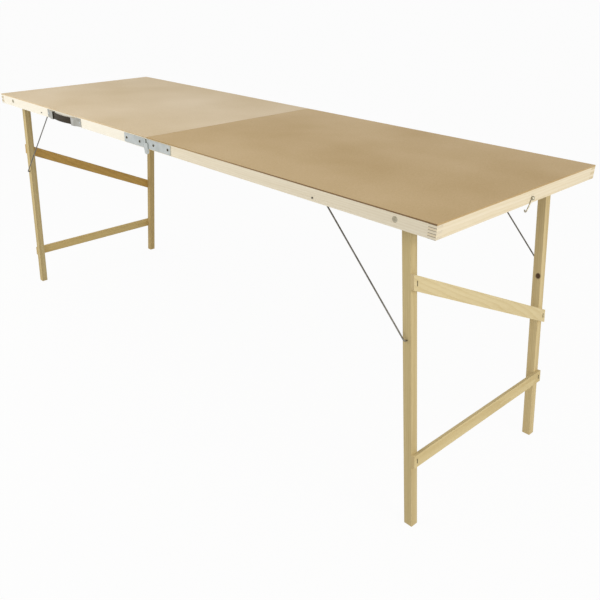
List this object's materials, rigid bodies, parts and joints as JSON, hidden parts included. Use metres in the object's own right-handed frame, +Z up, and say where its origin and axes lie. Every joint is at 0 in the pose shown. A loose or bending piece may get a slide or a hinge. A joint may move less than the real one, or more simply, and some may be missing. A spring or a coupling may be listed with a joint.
{
  "type": "folding trestle table",
  "caption": "Long light folding table: hardboard tops on comb-jointed wooden frames, hinged in the middle, on leaning wooden trestles with wire stays, a strap handle and a closing hook.",
  "frame": {"origin": "on the floor, under the middle of the opened table's outline", "axes": "+X along the table to the half without the handle, +Y from the handle's long side to the other, +Z up"},
  "size_m": [1.814, 0.6098, 0.71],
  "materials": {
    "hardboard": "smooth pale brown hardboard",
    "softwood": "planed bare softwood",
    "drawn_wire": "drawn wire, dull grey",
    "zinc_plate": "zinc plated steel",
    "nickel_plate": "bright nickel plate",
    "strap_plastic": "dark brown moulded strap"
  },
  "bodies": {
    "right_half": {"right_top_sheet": "hardboard", "right_front_rail": "softwood", "right_back_rail": "softwood", "right_end_rail": "softwood", "right_meeting_rail": "softwood", "right_pivot_bolts": "zinc_plate", "right_pivot_spacers": "zinc_plate", "right_pivot_washers": "zinc_plate", "right_pivot_nuts": "zinc_plate", "right_front_hinge_leaf": "zinc_plate", "right_back_hinge_leaf": "zinc_plate", "right_hinge_screws": "zinc_plate", "hook_screw": "zinc_plate"},
    "hinge_rivets": {"front_hinge_rivet": "zinc_plate", "back_hinge_rivet": "zinc_plate"},
    "left_half": {"left_top_sheet": "hardboard", "left_front_rail": "softwood", "left_back_rail": "softwood", "left_end_rail": "softwood", "left_meeting_rail": "softwood", "left_pivot_bolts": "zinc_plate", "left_pivot_spacers": "zinc_plate", "left_pivot_washers": "zinc_plate", "left_pivot_nuts": "zinc_plate", "left_front_hinge_leaf": "zinc_plate", "left_back_hinge_leaf": "zinc_plate", "left_hinge_screws": "zinc_plate", "handle_strap": "strap_plastic", "handle_right_cap": "nickel_plate", "handle_left_cap": "nickel_plate", "handle_screws": "zinc_plate", "catch_screw": "zinc_plate"},
    "right_trestle": {"right_front_leg": "softwood", "right_back_leg": "softwood", "right_lower_rail": "softwood", "right_brace": "softwood", "right_trestle_staples": "zinc_plate"},
    "left_trestle": {"left_front_leg": "softwood", "left_back_leg": "softwood", "left_lower_rail": "softwood", "left_brace": "softwood", "left_trestle_staples": "zinc_plate"},
    "closing_hook": {"end_hook": "zinc_plate"},
    "right_front_stay": {"right_front_stay": "drawn_wire"},
    "right_back_stay": {"right_back_stay": "drawn_wire"},
    "left_front_stay": {"left_front_stay": "drawn_wire"},
    "left_back_stay": {"left_back_stay": "drawn_wire"}
  },
  "joints": [
    {"name": "first_fold", "type": "hinge", "parent": "right_half", "child": "hinge_rivets", "pos_m": [0, 0.00335, 0.674], "axis": [0, -1, 0], "range_deg": [0, 80]},
    {"name": "second_fold", "type": "hinge", "parent": "hinge_rivets", "child": "left_half", "pos_m": [0, 0.00335, 0.674], "axis": [0, -1, 0], "range_deg": [0, 100]},
    {"name": "right_trestle_fold", "type": "hinge", "parent": "right_half", "child": "right_trestle", "pos_m": [0.809, 0.00335, 0.696], "axis": [0, 1, 0], "range_deg": [0, 97.2]},
    {"name": "right_front_stay_swing", "type": "hinge", "parent": "right_half", "child": "right_front_stay", "pos_m": [0.6, -0.29165, 0.688], "axis": [0, 1, 0], "range_deg": [0, 134.83]},
    {"name": "right_back_stay_swing", "type": "hinge", "parent": "right_half", "child": "right_back_stay", "pos_m": [0.6, 0.29835, 0.688], "axis": [0, 1, 0], "range_deg": [0, 134.83]},
    {"name": "left_trestle_fold", "type": "hinge", "parent": "left_half", "child": "left_trestle", "pos_m": [-0.809, 0.00335, 0.696], "axis": [0, -1, 0], "range_deg": [0, 97.2]},
    {"name": "left_front_stay_swing", "type": "hinge", "parent": "left_half", "child": "left_front_stay", "pos_m": [-0.6, -0.29165, 0.688], "axis": [0, -1, 0], "range_deg": [0, 134.83]},
    {"name": "left_back_stay_swing", "type": "hinge", "parent": "left_half", "child": "left_back_stay", "pos_m": [-0.6, 0.29835, 0.688], "axis": [0, -1, 0], "range_deg": [0, 134.83]},
    {"name": "hook_swing", "type": "hinge", "parent": "right_half", "child": "closing_hook", "pos_m": [0.9, 0.03035, 0.69], "axis": [1, 0, 0], "range_deg": [-50, 70]}
  ],
  "couplings": [
    {"joint": "right_trestle_fold", "follows": "first_fold", "ratio": 1.215},
    {"joint": "right_front_stay_swing", "follows": "first_fold", "ratio": 1.6854},
    {"joint": "right_back_stay_swing", "follows": "first_fold", "ratio": 1.6854},
    {"joint": "left_trestle_fold", "follows": "first_fold", "ratio": 1.215},
    {"joint": "left_front_stay_swing", "follows": "first_fold", "ratio": 1.6854},
    {"joint": "left_back_stay_swing", "follows": "first_fold", "ratio": 1.6854}
  ]
}
